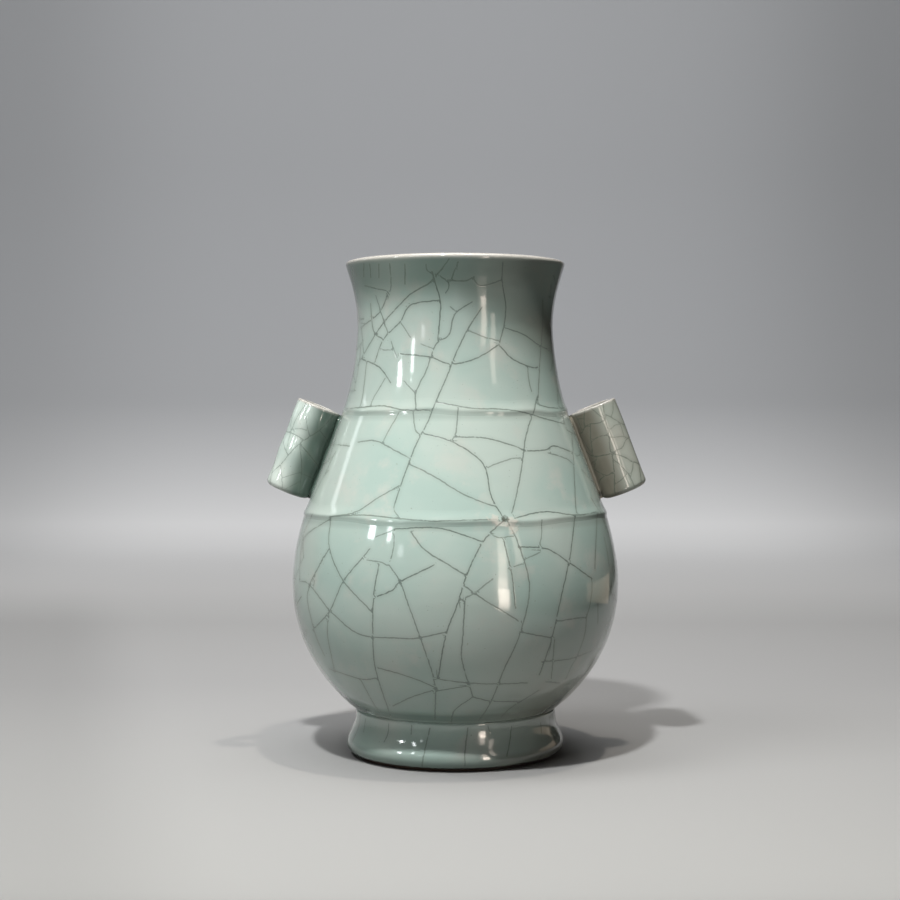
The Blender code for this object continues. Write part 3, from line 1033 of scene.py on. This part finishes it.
# A dark green of thick glaze, also used as painted shade; a brown for painted shade and warm reflection.
DEEP_GLAZE_AND_SHADE = colour(76, 93, 84)
BROWN_SHADE = colour(110, 106, 94)
STAIN = colour(50, 63, 55)
HALO = colour(122, 126, 113)
CRACK_HALF_WIDTH = 0.12 * MM
CRACK_SOFT = 0.32 * MM
CRACK_SHAKE = 0.7 * MM
CRACK_REACH = 1.25 * MM
HALO_REACH = 2.4 * MM
print("celadon in linear light:", np.round(CELADON[:3], 3))

# %% [markdown]
# One bubble burst where the lower string faces the lens. It left two pale lobes with ragged edges and a
# dark pit between them. Modelled flakes would be thinner than the glaze, so distances from three points
# of the wall draw it in the finish.

# %% Burst bubble
LOBES_PX = [(495.0, 521.0), (513.0, 525.0)]
HOLE_PX = [(504.0, 519.5)]
BLISTER_LOBES = onto_wall(np.array(LOBES_PX))
BLISTER_HOLE = onto_wall(np.array(HOLE_PX))[0]
BLISTER_PALE = colour(182, 176, 165)
BLISTER_PIT = colour(66, 68, 58)


def blister(place):
    """Two pale lobes of glaze round a burst bubble, and the dark pit between them."""
    ragged = 0.008 * (place.node("TexNoise", Vector=place, Scale=380.0, Detail=3.0) - 0.5)
    left, right = [place.vector("DISTANCE", tuple(spot), out=1) for spot in BLISTER_LOBES]
    hole = place.vector("DISTANCE", tuple(BLISTER_HOLE), out=1)
    skin = (left.least(0.8 * right) + ragged).step(3.4 * MM, 1.2 * MM)
    return skin, (hole + 0.6 * ragged).step(2.4 * MM, 0.9 * MM)


print("burst bubble at", np.round(BLISTER_HOLE / MM, 1), "mm")

# %% [markdown]
# The glaze is one Principled shader. Its colour is mixed in the order in which the real one came about:
# clouds and patches, pools with painted shade, thin edges, then the stain of the cracks; bare clay and
# the burst bubble come last. The surface is glossy, with a slow ripple that breaks long highlights.

# %% Glaze material
def glaze(name, stain, wash, pool_and_shade_strength, pool_and_shade_tones, crack_width, tint, tinted, matt, combed):
    """A celadon finish.

    Stain, wash and crack_width are the strength of the cracks and of their halo, and half a crack's width.
    The strength after wash is how far thick glaze and painted shade go towards their two tones, the first
    at the axis and the -X side, the second at +X.
    Tint and tinted are a wash of colour and its strength, matt is the roughness, and combed is the height
    of brush strokes.
    """
    made, shader, place = finish_start(name)
    arrow = place.node("Attribute", {"attribute_name": "to_crack"}, out=1)
    ink = place.node("Attribute", {"attribute_name": "crack_ink"}, out=2)
    far = place.node("Attribute", {"attribute_name": "crack_far"}, out=2)
    thin = place.node("Attribute", {"attribute_name": "glaze_thin"}, out=2)
    pool_and_shade_share = place.node("Attribute", {"attribute_name": "glaze_pool"}, out=2)
    shake = place.node("TexNoise", out=1, Vector=place, Scale=420.0, Detail=2.0)
    shake = shake.vector("SUBTRACT", (0.5, 0.5, 0.5)).vector("MULTIPLY", (CRACK_SHAKE,) * 3)
    away = arrow.vector("ADD", shake).vector("DISTANCE", (0.0, 0.0, 0.0), out=1)
    clouds = place.node("TexNoise", Vector=place, Scale=22.0, Detail=3.0)
    patches = place.node("TexNoise", Vector=place, Scale=60.0, Detail=4.0, Roughness=0.6)
    specks = place.node("TexNoise", Vector=place, Scale=900.0, Detail=1.0)
    uneven = place.node("TexNoise", Vector=place, Scale=240.0, Detail=2.0)
    base = clouds.step(0.38, 0.62).blend(CELADON_COOL, CELADON)
    base = patches.step(0.52, 0.72).blend(base, CELADON_GREY)
    base = (tinted * (0.6 + 0.8 * patches)).blend(base, tint)
    # Thick glaze and painted shade darken the colour, towards a second tone at +X.
    to_right = place.node("SeparateXYZ", _0=place)
    pool_and_shade_tone = to_right.step(0.0, 45 * MM).blend(*pool_and_shade_tones)
    base = (pool_and_shade_share * pool_and_shade_strength).blend(base, pool_and_shade_tone)
    base = thin.blend(base, THIN_EDGE)
    width = crack_width * (0.55 + 0.75 * uneven) * (0.5 + 0.5 * ink)
    line = (away - width).step(CRACK_SOFT, 0.0) * ink * far.step(CRACK_REACH, 0.8 * CRACK_REACH)
    halo = far.step(HALO_REACH, 0.0) * ink
    base = (halo * wash).blend(base, HALO)
    base = (specks.step(0.74, 0.80) * 0.5).blend(base, HALO)
    base = (line * stain).blend(base, STAIN)
    bare = place.node("Attribute", {"attribute_name": "bare_clay"}, out=2)
    base = bare.blend(base, IRON_CLAY)
    skin, pit = blister(place)
    base = (0.85 * pit).blend((0.6 * skin).blend(base, BLISTER_PALE), BLISTER_PIT)
    place.plug(shader.inputs["Coat Weight"], 0.35 * (1.0 - bare))
    shader.inputs["Coat Roughness"].default_value = 0.04
    place.plug(shader.inputs["Base Color"], base)
    place.plug(shader.inputs["Roughness"], matt + matt * patches + 0.25 * line + 0.6 * bare)
    ripple = place.node("TexNoise", Vector=place, Scale=95.0, Detail=2.0)
    strokes = place.vector("MULTIPLY", (1.0, 1.0, 0.06))
    strokes = place.node("TexNoise", Vector=strokes, Scale=1100.0, Detail=1.0)
    level = ripple * 0.5 + combed * strokes + uneven * 0.06 - line * 0.25 + skin * 0.6 - pit * 1.2
    bump = place.node("Bump", Strength=0.18, Distance=0.0006, Height=level)
    place.plug(shader.inputs["Normal"], bump)
    return made


body_glaze = glaze(
    "body_glaze", stain=0.78, wash=0.14, pool_and_shade_strength=0.73, pool_and_shade_tones=(DEEP_GLAZE_AND_SHADE, BROWN_SHADE),
    crack_width=CRACK_HALF_WIDTH, tint=BEIGE, tinted=0.0, matt=0.065, combed=0.0,
)
right_ear_glaze = glaze(
    "right_ear_glaze", stain=0.66, wash=0.30, pool_and_shade_strength=1.0, pool_and_shade_tones=(BROWN_SHADE, BROWN_SHADE),
    crack_width=0.8 * CRACK_HALF_WIDTH, tint=BEIGE, tinted=0.45, matt=0.03, combed=0.10,
)
left_ear_glaze = glaze(
    "left_ear_glaze", stain=0.62, wash=0.18, pool_and_shade_strength=1.0, pool_and_shade_tones=(DEEP_GLAZE_AND_SHADE, DEEP_GLAZE_AND_SHADE),
    crack_width=0.7 * CRACK_HALF_WIDTH, tint=PALE_AND_LIT, tinted=0.36, matt=0.045, combed=0.32,
)
for piece in (neck, shoulder, belly, foot, upper_string, lower_string):
    piece.data.materials.append(body_glaze)
for piece in (right_ear, right_luting):
    piece.data.materials.append(right_ear_glaze)
for piece in (left_ear, left_luting):
    piece.data.materials.append(left_ear_glaze)
print("glazes:", body_glaze.name, right_ear_glaze.name, left_ear_glaze.name)

# %% [markdown]
# ## Slip inside the joints
#
# The slip rings sit between the sections, inside the wall. They keep their CAD solids and get a dry,
# gritty clay.

# %% Slip
CLAY = colour(150, 128, 104)
CLAY_DARK = colour(104, 84, 66)


def slip_clay():
    """Dry fired clay with fine grit."""
    made, shader, place = finish_start("slip_clay")
    grit = place.node("TexNoise", Vector=place, Scale=700.0, Detail=6.0, Roughness=0.7)
    place.plug(shader.inputs["Base Color"], grit.step(0.35, 0.65).blend(CLAY, CLAY_DARK))
    place.plug(shader.inputs["Roughness"], 0.7 + 0.2 * grit)
    place.plug(shader.inputs["Normal"], place.node("Bump", Strength=0.4, Distance=0.0002, Height=grit))
    return made


clay = slip_clay()
for name in ("upper_seam_slip", "lower_seam_slip", "foot_seam_slip"):
    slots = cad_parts[name].data.materials
    slots.clear()
    slots.append(clay)
print("slip rings:", clay.name)

# %% [markdown]
# ## What each piece stands for
#
# Nothing moves on a fired pot, so every piece rides on the one body of the frame.

# %% Riding
STANDS_FOR = {
    "neck": neck,
    "shoulder": shoulder,
    "belly": belly,
    "foot_ring": foot,
    "upper_string": upper_string,
    "lower_string": lower_string,
    "right_ear": right_ear,
    "left_ear": left_ear,
    "right_ear_luting": right_luting,
    "left_ear_luting": left_luting,
}
for node, piece in STANDS_FOR.items():
    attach(piece, "root")
    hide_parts(node)
print(len(STANDS_FOR), "pieces ride on the root")

# %% [markdown]
# ## Stage and light
#
# The vase stands on a sweep of grey paper, flat in front and bent upright behind. A glossy glaze mirrors
# everything around it, so the paper is dark in front of the view and to its right, where only the glaze
# sees it; to a camera those parts glow plain grey. A pale band glows where the paper starts to bend up.

# %% Sweep
SWEEP_LEFT = -2.5
SWEEP_RIGHT = 2.5
SWEEP_FRONT = -1.6
SWEEP_BEND = 1.1
SWEEP_RADIUS = 0.5
SWEEP_TOP = 2.6
PAPER_SHADE = colour(70, 70, 68)
PAPER_DARK = colour(24, 22, 20)
PLAIN_GREY = (0.26, 0.255, 0.25, 1.0)
NO_GLOW = (0.0, 0.0, 0.0, 1.0)
IS_CAMERA_RAY = 0
IS_GLOSSY_RAY = 3
IS_TRANSMISSION_RAY = 6
PAPER_TONES = [
    (0.205, colour(30, 30, 30)),
    (0.235, colour(137, 137, 135)),
    (0.31, colour(139, 139, 139)),
    (0.40, colour(160, 160, 160)),
    (0.60, colour(160, 162, 165)),
    (0.75, colour(164, 166, 169)),
]
GLOW_TONES = [
    (0.36, NO_GLOW),
    (0.444, (0.20, 0.20, 0.20, 1.0)),
    (0.495, (0.35, 0.35, 0.35, 1.0)),
    (0.56, (0.08, 0.082, 0.086, 1.0)),
    (0.75, (0.112, 0.115, 0.12, 1.0)),
]


def sweep_piece():
    """One sheet of paper: a flat floor, a bend and an upright back."""
    bend = arc((SWEEP_BEND, SWEEP_RADIUS), SWEEP_RADIUS, 270, 360, 24)
    line = np.vstack([[(SWEEP_FRONT, 0.0)], bend, [(SWEEP_BEND + SWEEP_RADIUS, SWEEP_TOP)]])
    left = [(SWEEP_LEFT, y, z) for y, z in line]
    right = [(SWEEP_RIGHT, y, z) for y, z in line]
    count = len(line)
    faces = [[i, count + i, count + i + 1, i + 1] for i in range(count - 1)]
    return mesh_piece("sweep", np.array(left + right), faces)


def sweep_paper():
    """Grey paper whose tones change along the sweep, from 0 at its front edge to 1 at its top."""
    made, shader, place = finish_start("sweep_paper")
    x = place.node("SeparateXYZ", out=0, _0=place)
    y = place.node("SeparateXYZ", out=1, _0=place)
    z = place.node("SeparateXYZ", out=2, _0=place)
    along = (y + z - SWEEP_FRONT) / (SWEEP_BEND + SWEEP_RADIUS + SWEEP_TOP - SWEEP_FRONT)
    paper = place.node("ValToRGB", {"stops": PAPER_TONES}, Fac=along)
    # Painted shade: the paper darkens towards +X, and on the floor to the left.
    paper = (0.14 * x.step(0.0, 0.7)).blend(paper, PAPER_SHADE)
    near_left = (0.0 - x - 0.22 * y).step(0.124, 0.194) * along.step(0.42, 0.34)
    paper = (0.2 * near_left).blend(paper, PAPER_SHADE)
    beside = (x - 0.30 * y).step(0.28, 0.38)
    paper = beside.blend(paper, PAPER_DARK)
    glow = place.node("ValToRGB", {"stops": GLOW_TONES}, Fac=along)
    middle = 0.5 + 0.5 * (x * x).step(0.36, 0.08)
    glow = middle.blend(NO_GLOW, glow)
    by_camera = place.node("LightPath", out=IS_CAMERA_RAY)
    unseen = beside.most(along.step(0.228, 0.200))
    glow = unseen.blend(glow, by_camera.blend(NO_GLOW, PLAIN_GREY))
    seen = by_camera.most(place.node("LightPath", out=IS_GLOSSY_RAY))
    seen = seen.most(place.node("LightPath", out=IS_TRANSMISSION_RAY))
    place.plug(shader.inputs["Base Color"], paper)
    place.plug(shader.inputs["Emission Color"], seen.blend(NO_GLOW, glow))
    shader.inputs["Emission Strength"].default_value = 1.0
    shader.inputs["Roughness"].default_value = 0.9
    return made


sweep = sweep_piece()
sweep.data.materials.append(sweep_paper())
print("sweep:", len(sweep.data.polygons), "strips of paper")

# %% [markdown]
# ## Lamps
#
# Two small boxes above the vase, a key on the left and a weaker fill on the right, throw its two
# shadows. A wide box on the ceiling and two boxes at the left lift the rest softly. The upright streaks
# in the glaze are mirrored windows. One long lamp would mirror as one even streak, so each streak is
# built from a few panes: cool ones on the left, warm ones on the right and an amber card far round.
# The panes give the clay no light of their own, only their reflection.

# %% Lamps
def lamp(name, spot, aim, width, height, power, tint):
    """A rectangular lamp at a spot, turned towards its aim."""
    data = bpy.data.lights.new(name, "AREA")
    data.shape = "RECTANGLE"
    data.size = width
    data.size_y = height
    data.energy = power
    data.color = tint
    made = bpy.data.objects.new(name, data)
    made.location = spot
    made.rotation_euler = (Vector(aim) - Vector(spot)).to_track_quat("-Z", "Y").to_euler()
    scene.collection.objects.link(made)
    return made


LOOK_AT = (0.0, 0.0, 0.123)


def around_vase(left_deg, up_deg, distance):
    """A spot seen from the vase: degrees left of the camera's side, degrees up, and metres away."""
    left, up = math.radians(left_deg), math.radians(up_deg)
    flat = distance * math.cos(up)
    return (-flat * math.sin(left), -flat * math.cos(left), LOOK_AT[2] + distance * math.sin(up))


def window(name, left_deg, low, high, width, distance, power, tint):
    """An upright strip on one side of the vase, between two heights."""
    x, y, _ = around_vase(left_deg, 0.0, distance)
    middle = (low + high) / 2
    made = lamp(name, (x, y, middle), (0.0, 0.0, middle), width, high - low, power, tint)
    made.visible_diffuse = False
    made.visible_camera = False
    return made


WHITE = (1.0, 1.0, 1.0)
COOL = (0.94, 0.98, 1.0)
WARM = (1.0, 0.85, 0.74)
AMBER = (1.0, 0.80, 0.60)
CREAM = (1.0, 0.92, 0.83)
lamp("key_box", around_vase(17, 58, 0.95), LOOK_AT, 0.045, 0.045, 10.8, WHITE)
lamp("fill_box", around_vase(-39, 78, 1.07), LOOK_AT, 0.035, 0.035, 4.0, CREAM)
lamp("ceiling_box", (0.0, 0.0, 1.9), LOOK_AT, 1.4, 1.4, 25.0, WHITE)
side_box = lamp("side_box", around_vase(64, 58, 1.0), LOOK_AT, 0.3, 0.3, 4.1, WHITE)
side_box.visible_glossy = False
low_box = lamp("low_box", around_vase(40, 3, 0.9), LOOK_AT, 0.2, 0.2, 1.1, WHITE)
low_box.visible_glossy = False
window("left_window_near", 47, 0.30, 0.39, 0.036, 0.6, 0.155, COOL)
window("left_window_far", 64, 0.614, 0.763, 0.125, 1.5, 1.49, COOL)
window("left_window_soft", 37, 0.24, 0.30, 0.04, 0.6, 0.028, COOL)
window("left_window_rear", 113, 0.62, 0.94, 0.15, 1.6, 0.34, COOL)
low_window = window("right_window_low", -29.7, 0.02, 0.09, 0.035, 0.3, 0.0091, WARM)
low_window.data.spread = math.radians(60)
window("right_window_sill", -30.5, 0.034, 0.086, 0.03, 0.28, 0.0085, WARM)
window("right_window_mid", -31.0, 0.09, 0.14, 0.054, 0.5, 0.062, WARM)
window("right_window_high", -31.0, 0.14, 0.25, 0.048, 0.5, 0.085, WARM)
window("right_window_top", -31.0, 0.25, 0.30, 0.048, 0.5, 0.027, WARM)
window("right_window_wide", -30.0, 0.02, 0.27, 0.095, 0.5, 0.072, WARM)
window("right_window_far", -42, 0.19, 0.37, 0.05, 0.5, 0.085, WARM)
window("right_card", -109, 0.018, 0.075, 0.2, 0.35, 0.019, AMBER)

# %% [markdown]
# ## Room
#
# Beyond the paper the room is nearly dark, so that it adds no haze to the glaze. The camera sees a plain
# grey wall there instead, whichever way it looks.

# %% Room
ROOM_TINT = (0.56, 0.53, 0.50, 1.0)
ROOM_LEVEL = 0.03
world = bpy.data.worlds.new("studio")
scene.world = world
world.use_nodes = True
tree = world.node_tree
room = tree.nodes["Background"]
room.inputs["Color"].default_value = ROOM_TINT
room.inputs["Strength"].default_value = ROOM_LEVEL
by_camera = Wire(tree, tree.nodes.new("ShaderNodeLightPath").outputs[IS_CAMERA_RAY])
dim = Wire(tree, room.outputs[0])
wall = by_camera.node("Background", Color=PLAIN_GREY, Strength=1.0)
around = by_camera.node("MixShader", _0=by_camera, _1=dim, _2=wall)
around.plug(tree.nodes["World Output"].inputs["Surface"], around)
print("room:", world.name)
